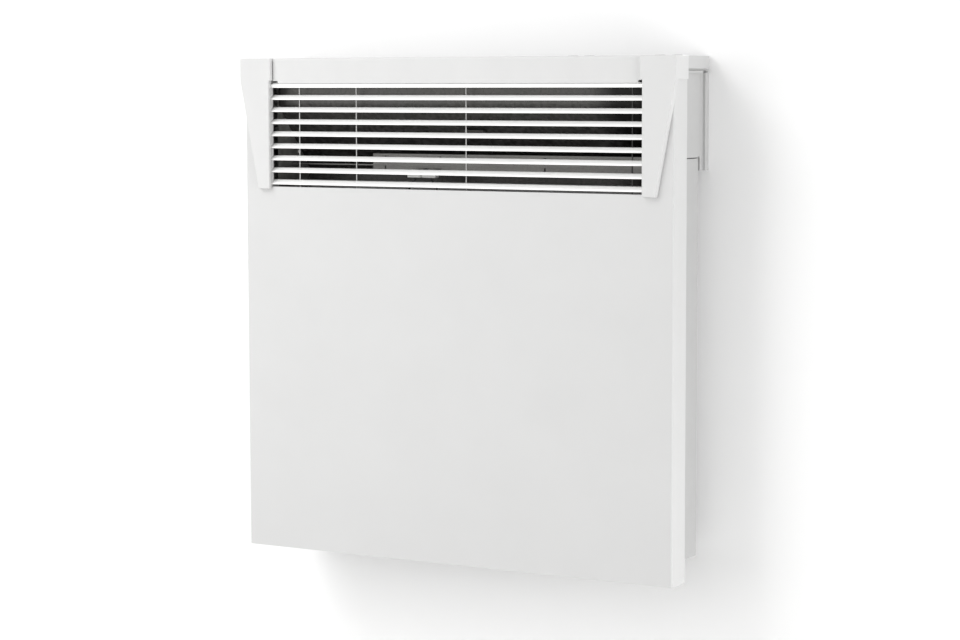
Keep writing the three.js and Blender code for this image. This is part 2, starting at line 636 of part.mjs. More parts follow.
function roomSensor() {
  const low = FLOOR.z - FLOOR.sheet / 2 - GAP;
  const high = FLOOR.z + FLOOR.sheet / 2 + GAP;
  const profile = [
    [0, low - 8], [1.8, low - 7.4], [2.4, low - 5.5], [2.4, high], [4.4, high], [4.4, high + 2],
    [2, high + 2], [2, high + 8], [0, high + 8],
  ];
  return turned(profile, SENSOR.x, SENSOR.y, 12);
}

function terminalBlock() {
  const { x0, x1, y0, y1, height } = TERMINALS;
  const base = FLOOR.z + FLOOR.sheet / 2 + GAP;
  const body = block(x0, x1, y0, y1, base, base + height);
  const step = block(x0 - 1, x1 + 1, y0 - 1, y0 + 4, base + height - 5, base + height + 1);
  const wells = [6, 16, 26].map((across) => (
    upright(ring(x0 + across, y0 + 9, 2.6, 10), base + 4, base + height + 2)));
  return cut(body, step, ...wells);
}

// ---------------------------------------------------------------- controls
// Tray under the cover with ledges for the board and four posts up to the cover.
function controlTray() {
  const { x0, x1, y0, y1, bottom, top, wall, ledge, post } = TRAY;
  const hollow = block(x0 + wall, x1 - wall, y0 + wall, y1 - wall, bottom + wall, top + 1);
  const shell = cut(block(x0, x1, y0, y1, bottom, top), hollow);
  const ledges = [x0 + 1, x1 - 1 - ledge].flatMap((x) => [y0 + 1, y1 - 5].map((y) => (
    block(x, x + ledge, y, y + 4, bottom + 1, BOARD.z - GAP))));
  const roof = COVER.top - COVER.wall - GAP;
  const posts = [x0, x1 - post].flatMap((x) => [y0, y1 - post].map((y) => (
    block(x + 0.4, x + 3.4, y + 0.4, y + 1.4, top - 2, roof))));
  return join(shell, ...ledges, ...posts);
}

// Circuit board with the display module, a key switch under each button, a relay and a connector.
function controlBoard() {
  const { x0, x1, y0, y1, z, sheet } = BOARD;
  const top = z + sheet;
  const card = block(x0, x1, y0, y1, z, top);
  const module = block(DISPLAY.x0, DISPLAY.x1, DISPLAY.y0, DISPLAY.y1, top - 0.5, COVER.top - 4.5);
  const keys = Object.values(BUTTONS).map((x) => (
    block(x - 3, x + 3, BUTTON.y - 3, BUTTON.y + 3, top - 0.5, top + 1.2)));
  const below = ({ x, y, length, width, height }) => (
    block(x, x + length, y, y + width, z - height, z + 0.5));
  return join(card, module, ...keys, below(RELAY), below(PLUG));
}

function displayWindow() {
  const { x0, x1, y0, y1, flange } = DISPLAY;
  const seat = COVER.top - COVER.wall - GAP;
  const pane = upright(roundedRectangle(x0, x1, y0, y1, 1.2, 2), seat - 1, COVER.top - 0.2);
  return join(pane, block(x0 - flange, x1 + flange, y0 - flange, y1 + flange, seat - 1.2, seat));
}

// Push button: dished top, retaining flange under the cover, stem over the key switch.
function button(x) {
  const { radius, flange, y, proud } = BUTTON;
  const seat = COVER.top - COVER.wall - GAP;
  const top = COVER.top + proud;
  const stem = BOARD.z + BOARD.sheet + 2.6;
  const profile = [
    [0, stem], [1.6, stem], [1.6, seat - 1.4], [flange, seat - 1.4], [flange, seat], [radius, seat],
    [radius, top - 0.6], [radius - 0.6, top], [radius - 1.6, top], [0, top - 0.5],
  ];
  return turned(profile, x, y, 16);
}

// ---------------------------------------------------------------- wall bracket
// Channel against the wall with two hooks turned up through the back sheet and four keyhole slots.
function wallRail() {
  const { half, bottom, top, front, sheet } = RAIL;
  const mid = sheet / 2;
  const back = WALL - mid;
  const line = [[front, bottom + mid], [back, bottom + mid], [back, top - mid], [front, top - mid]];
  const channel = lengthwise(folded(line, sheet), -half, half);
  const hookLine = [[back, HOOK.level], [HOOK.reach, HOOK.level], [HOOK.reach, HOOK.level + HOOK.lip]];
  const hooks = [-HOOK.x, HOOK.x].map((x) => (
    lengthwise(folded(hookLine, HOOK.sheet, 1.4), x - HOOK.width / 2, x + HOOK.width / 2)));
  const { xs, z, wide, narrow, rise } = SCREW_SLOT;
  const keyholes = xs.flatMap((x) => [
    facing(ring(x, z, wide, 14), back - 3, WALL + 1),
    facing(roundedRectangle(x - narrow, x + narrow, z, z + rise, narrow * 0.98, 3), back - 3, WALL + 1),
  ]);
  return cut(join(channel, ...hooks), ...keyholes);
}

// Moulded end of the rail, stepped in plan, open towards the rail.
function bracketEnd() {
  const { inner, tongueHalf, half, front, step, bottom, top, wall } = BRACKET_END;
  const plan = [
    [inner, front], [tongueHalf, front], [tongueHalf, step], [half, step], [half, WALL], [inner, WALL],
  ];
  const hollow = [
    [inner - 1, front + wall], [tongueHalf - wall, front + wall], [tongueHalf - wall, step + wall],
    [half - wall, step + wall], [half - wall, WALL - wall], [inner - 1, WALL - wall],
  ];
  const middle = (bottom + top) / 2;
  const rib = block(inner, tongueHalf - 1, front + 1, WALL - 1, middle - wall / 2, middle + wall / 2);
  return join(cut(upright(plan, bottom, top), upright(hollow, bottom + wall, top - wall)), rib);
}

// ---------------------------------------------------------------- leads inside the heater
const TRAY_UNDER = TRAY.bottom - GAP;
const LEADS = {
  lead_supply: {
    finish: 'darkPlastic', radius: 2.6,
    route: [[186, 46, 23], [186, 47, 36], [172, 50, 46], [150, 51, 46], [138, 50, 36], [135, 48, 27]],
  },
  lead_control: {
    finish: 'lead', radius: 1.5,
    route: [
      [116, 58, 27], [126, 60, 32], [178, 60, 34], [194, 58, 60], [197, 57, 200], [197, 57, 380],
      [197, 57, TRAY_UNDER],
    ],
  },
  lead_element: {
    finish: 'leadBlue', radius: 1.5,
    route: [
      [182.4, 34, 110], [188, 34, 110], [194, 36, 122], [194, 42, 200], [194, 43, 380], [194, 43, TRAY_UNDER],
    ],
  },
  lead_cutout: {
    finish: 'lead', radius: 1.3,
    route: [
      [-182.4, 34, 110], [-188, 34, 110], [-194, 36, 122], [-195, 38, 280], [-186, 36, 314],
      [-150, 32, 318], [-70, 30, 328], [-53, 29.5, 336], [-53, 29.5, 342.6],
    ],
  },
  lead_cutout_return: {
    finish: 'lead', radius: 1.3,
    route: [
      [-37, 29.5, 342.6], [-37, 29.5, 336], [-20, 30, 328], [60, 34, 320], [160, 38, 314],
      [188, 44, 317], [200, 50, 338], [200.5, 50, 400], [200.5, 50, TRAY_UNDER],
    ],
  },
};

// ---------------------------------------------------------------- assembly
const heater = new THREE.Group();
heater.position.set(0, -WALL, -BRACKET_MIDDLE);

const casing = new THREE.Group();
casing.add(piece('front_panel', frontPanel(), 'panelWhite'));
casing.add(piece('top_trim', topTrim(), 'plasticWhite'));
casing.add(piece('top_cover', topCover(), 'plasticWhite'));
casing.add(piece('chassis', chassis(), 'boxWhite'));
casing.add(piece('inlet_grille', inletGrille(), 'boxWhite'));
for (const [word, side] of SIDES) {
  casing.add(piece(`end_cap_${word}`, forSide(side, endCap()), 'plasticWhite'));
  casing.add(piece(`cheek_${word}`, forSide(side, cheek()), 'plasticWhite'));
  casing.add(piece(`wall_spacer_${word}`, wallSpacer(side * SPACER.x), 'darkPlastic'));
}

const grille = new THREE.Group();
grille.add(piece('grille_frame', grilleFrame(), 'plasticWhite'));
for (let i = 0; i < BLADE.count; i++) {
  grille.add(piece(`blade_${i + 1}`, bladeBar(i, BLADE.half, 0), 'bladeWhite'));
}
STAY.xs.forEach((x, i) => grille.add(piece(`stay_${i + 1}`, stay(x), 'bladeWhite')));

const duct = new THREE.Group();
duct.add(piece('air_deflector', airDeflector(), 'galvanised'));
for (const [word, side] of SIDES) {
  duct.add(piece(`duct_end_${word}`, forSide(side, ductEnd()), 'galvanised'));
}
duct.add(piece('cross_rail', crossRail(), 'galvanised'));
duct.add(piece('sensor_plate', sensorPlate(), 'galvanised'));
duct.add(piece('thermal_cutout', thermalCutout(), 'darkPlastic'));
duct.add(piece('cutout_sleeve_left', terminalSleeve(-60, -46), 'sleeve'));
duct.add(piece('cutout_sleeve_right', terminalSleeve(-45, -30), 'sleeve'));

const heating = new THREE.Group();
heating.add(piece('heating_element', heatingElement(), 'aluminium'));
heating.add(piece('element_rod', elementRod(), 'steel'));
heating.add(piece('heat_shield', heatShield(), 'galvanised'));
for (const [word, side] of SIDES) {
  heating.add(piece(`element_holder_${word}`, forSide(side, elementHolder()), 'ceramic'));
  heating.add(piece(`element_bracket_${word}`, forSide(side, elementBracket()), 'galvanised'));
}

const supply = new THREE.Group();
supply.add(piece('rocker_housing', rockerHousing(), 'darkPlastic'));
supply.add(piece('rocker', rocker(), 'darkPlastic'));
supply.add(piece('cable_gland', cableGland(), 'darkPlastic'));
supply.add(piece('room_sensor', roomSensor(), 'darkPlastic'));
supply.add(piece('terminal_block', terminalBlock(), 'ceramic'));
for (const [name, { route, radius, finish }] of Object.entries(LEADS)) {
  supply.add(piece(name, tube(route, radius), finish));
}

const controls = new THREE.Group();
controls.add(piece('control_tray', controlTray(), 'darkPlastic'));
controls.add(piece('control_board', controlBoard(), 'board'));
controls.add(piece('display_window', displayWindow(), 'glass'));
for (const [word, x] of Object.entries(BUTTONS)) {
  controls.add(piece(`button_${word}`, button(x), 'plasticWhite'));
}

const bracket = new THREE.Group();
bracket.add(piece('wall_rail', wallRail(), 'galvanised'));
for (const [word, side] of SIDES) {
  bracket.add(piece(`bracket_end_${word}`, forSide(side, bracketEnd()), 'plasticWhite'));
}

heater.add(casing, grille, duct, heating, supply, controls, bracket);

export default heater;
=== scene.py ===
import json
import math

import bmesh
import bpy
from mathutils import Matrix, Vector

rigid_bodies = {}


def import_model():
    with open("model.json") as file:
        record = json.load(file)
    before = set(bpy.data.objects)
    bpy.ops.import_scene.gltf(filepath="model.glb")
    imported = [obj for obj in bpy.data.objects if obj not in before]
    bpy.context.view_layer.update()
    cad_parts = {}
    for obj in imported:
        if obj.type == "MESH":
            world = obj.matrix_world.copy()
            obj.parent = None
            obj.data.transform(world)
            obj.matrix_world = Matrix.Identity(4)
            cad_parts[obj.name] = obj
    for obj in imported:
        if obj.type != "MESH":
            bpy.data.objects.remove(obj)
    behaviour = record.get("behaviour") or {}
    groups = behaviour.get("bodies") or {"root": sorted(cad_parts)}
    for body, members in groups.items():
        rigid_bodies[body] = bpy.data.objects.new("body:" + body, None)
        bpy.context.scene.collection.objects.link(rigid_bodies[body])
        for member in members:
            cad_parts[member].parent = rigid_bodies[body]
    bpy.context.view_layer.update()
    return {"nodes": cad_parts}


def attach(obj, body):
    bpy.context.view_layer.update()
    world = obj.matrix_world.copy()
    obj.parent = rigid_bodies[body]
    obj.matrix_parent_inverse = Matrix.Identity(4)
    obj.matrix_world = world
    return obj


for leftover in list(bpy.data.objects):
    bpy.data.objects.remove(leftover)

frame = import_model()
scene = bpy.context.scene

# Millimetres from the middle of the panel's lower edge (x right, y to the wall, z up) to the row frame.
WALL = 82
BRACKET_MIDDLE = 394
MM = 0.001


def place(x, y, z):
    return Vector((x, y - WALL, z - BRACKET_MIDDLE)) * MM


# ---------------------------------------------------------------- materials
class Nodes:
    """A material's node tree with short calls for its nodes."""

    def __init__(self, name):
        self.material = bpy.data.materials.new(name)
        self.material.use_nodes = True
        self.tree = self.material.node_tree
        self.shader = self.tree.nodes["Principled BSDF"]
        self.place = self.add("ShaderNodeTexCoord").outputs["Object"]

    def add(self, kind, **settings):
        node = self.tree.nodes.new(kind)
        for key, value in settings.items():
            setattr(node, key, value)
        return node

    def link(self, out, into):
        self.tree.links.new(out, into)

    def noise(self, size, detail=2.0, stretch=None):
        """Noise with features of about size metres, stretched along the axes if asked."""
        node = self.add("ShaderNodeTexNoise")
        node.inputs["Scale"].default_value = 1 / size
        node.inputs["Detail"].default_value = detail
        place_in = self.place
        if stretch:
            mapping = self.add("ShaderNodeMapping")
            mapping.inputs["Scale"].default_value = stretch
            self.link(self.place, mapping.inputs["Vector"])
            place_in = mapping.outputs["Vector"]
        self.link(place_in, node.inputs["Vector"])
        return node.outputs["Fac"]

    def cells(self, size):
        node = self.add("ShaderNodeTexVoronoi")
        node.inputs["Scale"].default_value = 1 / size
        self.link(self.place, node.inputs["Vector"])
        return node.outputs["Color"]

    def spread(self, value, low, high, start=0.3, stop=0.7):
        """value from start to stop, turned into low to high."""
        node = self.add("ShaderNodeMapRange")
        node.inputs["From Min"].default_value = start
        node.inputs["From Max"].default_value = stop
        node.inputs["To Min"].default_value = low
        node.inputs["To Max"].default_value = high
        self.link(value, node.inputs["Value"])
        return node.outputs["Result"]

    def blend(self, value, one, other, start=0.3, stop=0.7):
        node = self.add("ShaderNodeValToRGB")
        ramp = node.color_ramp.elements
        ramp[0].position, ramp[1].position = start, stop
        ramp[0].color, ramp[1].color = (*one, 1), (*other, 1)
        self.link(value, node.inputs["Fac"])
        return node.outputs["Color"]

    def bump(self, height, depth, strength=1.0, under=None):
        node = self.add("ShaderNodeBump")
        node.inputs["Strength"].default_value = strength
        node.inputs["Distance"].default_value = depth
        self.link(height, node.inputs["Height"])
        if under:
            self.link(under, node.inputs["Normal"])
        return node.outputs["Normal"]

    def finish(self, colour=None, roughness=None, normal=None, **sockets):
        for name, out in (("Base Color", colour), ("Roughness", roughness), ("Normal", normal)):
            if out:
                self.link(out, self.shader.inputs[name])
        for name, value in sockets.items():
            self.shader.inputs[name.replace("_", " ")].default_value = value
        return self.material


def tinted(colour, factor):
    return tuple(min(c * factor, 1) for c in colour)


def coated_metal(name, colour, roughness, peel, depth):
    """Powder coat: a fine orange peel, a slight cloudiness and an uneven gloss."""
    n = Nodes(name)
    tone = n.blend(n.noise(0.06, 3), tinted(colour, 0.988), tinted(colour, 1.008))
    gloss = n.spread(n.noise(0.012), roughness - 0.05, roughness + 0.05)
    fine = n.bump(n.noise(peel, 1), depth, 0.6)
    normal = n.bump(n.noise(peel * 5, 1), depth * 2, 0.4, fine)
    return n.finish(tone, gloss, normal, IOR=1.45)


def moulded(name, colour, roughness, grain, depth, **sockets):
    """Moulded plastic: a fine spark texture and a faint flow in its tone."""
    n = Nodes(name)
    flow = n.noise(0.03, 2, (1, 1, 0.4))
    tone = n.blend(flow, tinted(colour, 0.985), tinted(colour, 1.01))
    gloss = n.spread(n.noise(0.008), roughness - 0.04, roughness + 0.06)
    normal = n.bump(n.noise(grain, 4), depth, 0.7)
    return n.finish(tone, gloss, normal, **sockets)


def zinc_sheet(name, dark, light, painted_shade_span=None):
    """Galvanised sheet with crystal spangles and faint rolling lines; the optional last argument is (from x,
    to x, share), a painted shade that dims the tone to share of itself past x.
    """
    n = Nodes(name)
    spangle = n.cells(0.0028)
    grey = n.add("ShaderNodeRGBToBW")
    n.link(spangle, grey.inputs["Color"])
    tone = n.blend(grey.outputs["Val"], dark, light, 0.2, 0.85)
    # Painted shade: the tone is multiplied down between the two x values.
    if painted_shade_span:
        start, stop, share = painted_shade_span
        axes = n.add("ShaderNodeSeparateXYZ")
        n.link(n.place, axes.inputs["Vector"])
        fade = n.blend(axes.outputs["X"], (1, 1, 1), (share, share, share), start, stop)
        dim = n.add("ShaderNodeMix", data_type="RGBA", blend_type="MULTIPLY")
        dim.inputs["Factor"].default_value = 1
        n.link(tone, dim.inputs["A"])
        n.link(fade, dim.inputs["B"])
        tone = dim.outputs["Result"]
    gloss = n.spread(grey.outputs["Val"], 0.36, 0.58, 0.1, 0.9)
    rolled = n.noise(0.0012, 2, (0.05, 1, 1))
    normal = n.bump(rolled, 0.00002, 0.5)
    return n.finish(tone, gloss, normal, Metallic=0.85)


def drawn_metal(name, dark, light, roughness, along):
    """Extruded or drawn metal with fine lines along one axis."""
    n = Nodes(name)
    lines = n.noise(0.0005, 3, along)
    tone = n.blend(lines, dark, light)
    gloss = n.spread(n.noise(0.01), roughness - 0.06, roughness + 0.08)
    normal = n.bump(lines, 0.00003, 0.6)
    return n.finish(tone, gloss, normal, Metallic=0.95)


def circuit_board(name):
    """Green lacquer over copper tracks."""
    n = Nodes(name)
    edge = n.add("ShaderNodeTexVoronoi", feature="DISTANCE_TO_EDGE", distance="CHEBYCHEV")
    edge.inputs["Scale"].default_value = 1 / 0.004
    n.link(n.place, edge.inputs["Vector"])
    tone = n.blend(edge.outputs["Distance"], (0.07, 0.22, 0.1), (0.012, 0.1, 0.04), 0.05, 0.09)
    normal = n.bump(edge.outputs["Distance"], 0.00004, 0.5)
    return n.finish(tone, n.spread(n.noise(0.01), 0.3, 0.42), normal)


def fired_clay(name):
    n = Nodes(name)
    specks = n.noise(0.0009, 4)
    tone = n.blend(specks, (0.5, 0.46, 0.4), (0.74, 0.71, 0.64), 0.36, 0.5)
    return n.finish(tone, n.spread(specks, 0.55, 0.75), n.bump(specks, 0.00005, 0.6))


def display_pane(name):
    n = Nodes(name)
    tone = n.blend(n.noise(0.02), (0.008, 0.009, 0.011), (0.014, 0.015, 0.018))
    gloss = n.spread(n.noise(0.004), 0.06, 0.12)
    return n.finish(tone, gloss, n.bump(n.noise(0.015, 1), 0.00002, 0.3), Coat_Weight=0.5)


def cable_skin(name, colour):
    n = Nodes(name)
    tone = n.blend(n.noise(0.006), tinted(colour, 0.85), tinted(colour, 1.1))
    return n.finish(tone, n.spread(n.noise(0.003), 0.42, 0.6), n.bump(n.noise(0.0006, 3), 0.00003, 0.6))


def lit_segment(name):
    n = Nodes(name)
    glow = n.blend(n.noise(0.001), (0.75, 0.82, 0.88), (0.85, 0.92, 0.97))
    n.link(glow, n.shader.inputs["Emission Color"])
    return n.finish(glow, n.spread(n.noise(0.001), 0.3, 0.4), Emission_Strength=0.8)


MATERIALS = {
    "panel_white": coated_metal("panel_white", (0.615, 0.615, 0.613), 0.42, 0.0011, 0.000012),
    # Painted shade: a darker copy of the panel's white, for the chassis sides in shade.
    "box_white": coated_metal("box_white", (0.475, 0.475, 0.473), 0.48, 0.0011, 0.000012),
    # Partly painted light: the blades' white is kept far above the panel's so that their upward ramps read as
    # lit.
    "blade_white": coated_metal("blade_white", (0.965, 0.965, 0.955), 0.38, 0.0009, 0.000008),
    "plastic_white": moulded("plastic_white", (0.64, 0.64, 0.638), 0.46, 0.0006, 0.000012, IOR=1.5),
    "galvanised": zinc_sheet("galvanised", (0.42, 0.43, 0.44), (0.54, 0.55, 0.565)),
    "aluminium": drawn_metal("aluminium", (0.55, 0.56, 0.57), (0.74, 0.75, 0.76), 0.34, (0.03, 1, 1)),
    "steel": drawn_metal("steel", (0.35, 0.36, 0.37), (0.55, 0.56, 0.57), 0.36, (0.05, 1, 1)),
    "ceramic": fired_clay("ceramic"),
    "dark_plastic": moulded("dark_plastic", (0.022, 0.022, 0.024), 0.5, 0.0005, 0.00003),
    "board": circuit_board("board"),
    "glass": display_pane("glass"),
    "sleeve": moulded("sleeve", (0.86, 0.86, 0.84), 0.42, 0.0008, 0.00002, Subsurface_Weight=0.15,
                      Subsurface_Radius=(1, 1, 1), Subsurface_Scale=0.001),
    "foot": moulded("foot", (0.06, 0.06, 0.062), 0.7, 0.0004, 0.00004),
    "lead": cable_skin("lead", (0.07, 0.035, 0.02)),
    "lead_blue": cable_skin("lead_blue", (0.02, 0.05, 0.16)),
    "lead_dark": cable_skin("lead_dark", (0.03, 0.03, 0.032)),
}
# Painted shade: the deflector and sensor plate zinc is darkened to stand for the deep shade behind the
# grille, with a painted shadow dimming it further at the right end.
DEFLECTOR_ZINC_PAINTED_SHADE = zinc_sheet("deflector_zinc_painted_shade", (0.064, 0.063, 0.06), (0.1, 0.098, 0.094), (0.13, 0.155, 0.2))
# Painted shade: the cross rail's zinc is darkened to stand for the shade behind the grille.
RAIL_ZINC_PAINTED_SHADE = zinc_sheet("rail_zinc_painted_shade", (0.14, 0.138, 0.132), (0.19, 0.188, 0.18))
DUCT_ZINC = zinc_sheet("duct_zinc", (0.38, 0.376, 0.365), (0.46, 0.456, 0.442))
# Lit and shaded copies of the stays' metal: the near-black copy is painted shade for the stay at the grille's
# dark right end.
STAY_BRIGHT = drawn_metal("stay_bright", (0.3, 0.3, 0.295), (0.42, 0.42, 0.41), 0.4, (1, 1, 0.05))
STAY_PAINTED_SHADE = drawn_metal("stay_painted_shade", (0.04, 0.04, 0.039), (0.07, 0.07, 0.068), 0.5, (1, 1, 0.05))
# Painted shade: darker copies of the white plastic for the cheeks, bracket ends and top cover, whose sides
# are in shade.
SIDE_WHITE_PAINTED_SHADE = moulded("side_white_painted_shade", (0.485, 0.485, 0.483), 0.5, 0.0006, 0.000012, IOR=1.5)
COVER_WHITE_PAINTED_SHADE = moulded("cover_white_painted_shade", (0.54, 0.54, 0.538), 0.48, 0.0006, 0.000012, IOR=1.5)
# Nodes with a material other than their slot's: own finishes for three stays, the duct ends and the cutout
# leads; darker copies as painted shade for the last stay, top cover, deflector, sensor plate, cross rail,
# cheeks and bracket ends.
FINISH_AND_PAINTED_SHADE_APART = {
    "stay_1": STAY_BRIGHT, "stay_2": STAY_BRIGHT, "stay_3": STAY_BRIGHT, "stay_4": STAY_PAINTED_SHADE,
    "top_cover": COVER_WHITE_PAINTED_SHADE,
    "air_deflector": DEFLECTOR_ZINC_PAINTED_SHADE, "duct_end_left": DUCT_ZINC, "duct_end_right": DUCT_ZINC,
    "cross_rail": RAIL_ZINC_PAINTED_SHADE, "sensor_plate": DEFLECTOR_ZINC_PAINTED_SHADE,
    "lead_cutout": MATERIALS["lead_dark"], "lead_cutout_return": MATERIALS["lead_dark"],
    "cheek_left": SIDE_WHITE_PAINTED_SHADE, "cheek_right": SIDE_WHITE_PAINTED_SHADE,
    "bracket_end_left": SIDE_WHITE_PAINTED_SHADE, "bracket_end_right": SIDE_WHITE_PAINTED_SHADE,
}
MARKING = moulded("marking", (0.2, 0.21, 0.22), 0.55, 0.0004, 0.00001)
SEGMENT = lit_segment("segment")
COVER_SEAL = moulded("cover_seal", (0.42, 0.42, 0.415), 0.8, 0.0005, 0.00003)
ZINC_SCREW = drawn_metal("zinc_screw", (0.5, 0.5, 0.5), (0.7, 0.7, 0.69), 0.3, (1, 1, 1))


# ---------------------------------------------------------------- CAD nodes: clean shading and soft edges
def smoothing_group(name, weld, angle):
    """Geometry nodes that weld the vertices if asked, and shade smooth up to an edge angle."""
    group = bpy.data.node_groups.new(name, "GeometryNodeTree")
    group.interface.new_socket("Geometry", in_out="INPUT", socket_type="NodeSocketGeometry")
    group.interface.new_socket("Geometry", in_out="OUTPUT", socket_type="NodeSocketGeometry")
    add = group.nodes.new
    out = add("NodeGroupInput").outputs[0]
    if weld:
        merge = add("GeometryNodeMergeByDistance")
        merge.inputs["Distance"].default_value = weld
        group.links.new(out, merge.inputs[0])
        drop = add("GeometryNodeRemoveAttribute")
        drop.inputs["Name"].default_value = "custom_normal"
        group.links.new(merge.outputs[0], drop.inputs[0])
        out = drop.outputs[0]
    smooth = add("GeometryNodeSetShadeSmooth")
    smooth.domain = "FACE"
    group.links.new(out, smooth.inputs["Geometry"])
    edge = add("GeometryNodeInputMeshEdgeAngle")
    sharp = add("FunctionNodeCompare")
    sharp.inputs[1].default_value = angle
    group.links.new(edge.outputs[0], sharp.inputs[0])
    crease = add("GeometryNodeSetShadeSmooth")
    crease.domain = "EDGE"
    crease.inputs["Shade Smooth"].default_value = False
    group.links.new(smooth.outputs[0], crease.inputs["Geometry"])
    group.links.new(sharp.outputs[0], crease.inputs["Selection"])
    group.links.new(crease.outputs[0], add("NodeGroupOutput").inputs[0])
    return group


WELDED = smoothing_group("welded", 0.000002, math.radians(35))
SMOOTHED = smoothing_group("smoothed", 0, math.radians(46))
# Width of the soft edges in millimetres, by how a node's name starts; the first that fits counts.
EDGE = {
    "front_panel": 0.35, "end_cap": 0.3, "top_trim": 0.15, "top_cover": 0.6, "cheek": 0.4, "bracket_end": 0.5,
    "chassis": 0.3, "wall_rail": 0.3, "blade_1": 0.05, "blade": 0.2, "grille_frame": 0.2, "button": 0.15,
    "display": 0.15, "inlet_grille": 0.25, "rocker": 0.25, "cutout_sleeve": 0.3, "control_tray": 0.3,
    "wall_spacer": 0.3,
}


def soften(node, name):
    shade = node.modifiers.new("welded", "NODES")
    shade.node_group = WELDED
    width = next((w for start, w in EDGE.items() if name.startswith(start)), 0)
    if not width:
        return
    flat = node.modifiers.new("flat", "DECIMATE")
    flat.decimate_type = "DISSOLVE"
    flat.angle_limit = math.radians(0.5)
    edge = node.modifiers.new("edge", "BEVEL")
    edge.width = width * MM
    edge.segments = 2
    edge.limit_method = "ANGLE"
    edge.angle_limit = math.radians(50)
    edge.use_clamp_overlap = True
    shade = node.modifiers.new("smoothed", "NODES")
    shade.node_group = SMOOTHED
    even = node.modifiers.new("even", "WEIGHTED_NORMAL")
    even.keep_sharp = True


for name, node in frame["nodes"].items():
    slot_name = node.material_slots[0].material.name
    node.material_slots[0].material = FINISH_AND_PAINTED_SHADE_APART.get(name, MATERIALS[slot_name])
    soften(node, name)


# ---------------------------------------------------------------- small pieces
def piece(name, bm, material, body, at=None):
    """Object on a body from a mesh in millimetres, at a matrix or at the panel's lower edge."""
    bmesh.ops.scale(bm, vec=(MM, MM, MM), verts=bm.verts)
    mesh = bpy.data.meshes.new(name)
    bm.normal_update()
    bm.to_mesh(mesh)
    bm.free()
    instance(name, mesh, material, body, at or Matrix.Translation(place(0, 0, 0)))


def instance(name, mesh, material, body, at):
    """Object on a body from a mesh in metres, which several objects may share."""
    if not mesh.materials:
        mesh.materials.append(material)
    made = bpy.data.objects.new(name, mesh)
    made.matrix_world = at
    scene.collection.objects.link(made)
    shade = made.modifiers.new("smoothed", "NODES")
    shade.node_group = SMOOTHED
    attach(made, body)


def slab(bm, outline, low, high, bevel=0.0):
    """A prism on a closed outline of (x, y) points, its top edge drawn in by bevel."""
    centre = Vector((sum(p[0] for p in outline), sum(p[1] for p in outline))) / len(outline)
    rings = []
    for z, inset in ((low, 0), (high - bevel, 0), (high, bevel)):
        ring = []
        for x, y in outline:
            away = Vector((x, y)) - centre
            drawn = centre + away * (1 - inset / max(away.length, inset * 2 + 1e-9))
            ring.append(bm.verts.new((drawn.x, drawn.y, z)))
        rings.append(ring)
    for lower, upper in zip(rings, rings[1:]):
        for i in range(len(outline)):
            j = (i + 1) % len(outline)
            bm.faces.new((lower[i], lower[j], upper[j], upper[i]))
    bm.faces.new(rings[0][::-1])
    bm.faces.new(rings[-1])


def bar(x, y, half_x, half_y):
    """Outline of a rectangle round (x, y)."""
    return [(x + u * half_x, y + v * half_y) for u, v in ((-1, -1), (1, -1), (1, 1), (-1, 1))]


def arc_band(radius, width, start, stop, steps):
    """Outline of a band round the origin between two angles in degrees."""
    angles = [math.radians(start + (stop - start) * i / steps) for i in range(steps + 1)]
    outer = [((radius + width / 2) * math.cos(a), (radius + width / 2) * math.sin(a)) for a in angles]
    inner = [((radius - width / 2) * math.cos(a), (radius - width / 2) * math.sin(a)) for a in angles]
    return outer + inner[::-1]


def band(bm, outline, low, high):
    """A prism on a band outline, built as a strip so that it may bend round."""
    half = len(outline) // 2
    outer, inner = outline[:half], outline[half:][::-1]
    grid = []
    for (ox, oy), (ix, iy) in zip(outer, inner):
        grid.append([bm.verts.new(v) for v in ((ox, oy, low), (ox, oy, high), (ix, iy, high), (ix, iy, low))])
    for one, two in zip(grid, grid[1:]):
        for i in range(4):
            j = (i + 1) % 4
            bm.faces.new((one[i], two[i], two[j], one[j]))
    bm.faces.new(grid[0])
    bm.faces.new(grid[-1][::-1])


def toward(normal, at):
    """Matrix that puts a piece made round +Z at a point, facing along normal."""
    turn = Vector(normal).to_track_quat("Z", "Y").to_matrix().to_4x4()
    return Matrix.Translation(at) @ turn


def screw_mesh(radius, height):
    """Pan head with a cross recess, standing on z = 0; the rings are shares of its radius and height."""
    bm = bmesh.new()
    sides = 32
    cross = {"reach": 0.55, "half": 0.13, "depth": 0.55}
    rings = [(1.0, 0.0), (1.0, 0.35), (0.93, 0.72), (0.76, 0.94), (0.6, 1.0), (0.46, 1.0), (0.32, 1.0),
             (0.16, 1.0)]
    built = []
    for share, lift in rings:
        ring = []
        for i in range(sides):
            angle = 2 * math.pi * i / sides
            x, y = share * math.cos(angle), share * math.sin(angle)
            in_cross = share < cross["reach"] and min(abs(x), abs(y)) < cross["half"]
            z = lift - (cross["depth"] if in_cross else 0)
            ring.append(bm.verts.new((x * radius, y * radius, z * height)))
        built.append(ring)
    for lower, upper in zip(built, built[1:]):
        for i in range(sides):
            j = (i + 1) % sides
            bm.faces.new((lower[i], lower[j], upper[j], upper[i]))
    bm.faces.new(built[-1])
    bm.faces.new(built[0][::-1])
    mesh = bpy.data.meshes.new("screw_head")
    bm.to_mesh(mesh)
    bm.free()
    return mesh


HEAD = screw_mesh(2.9 * MM, 1.7 * MM)
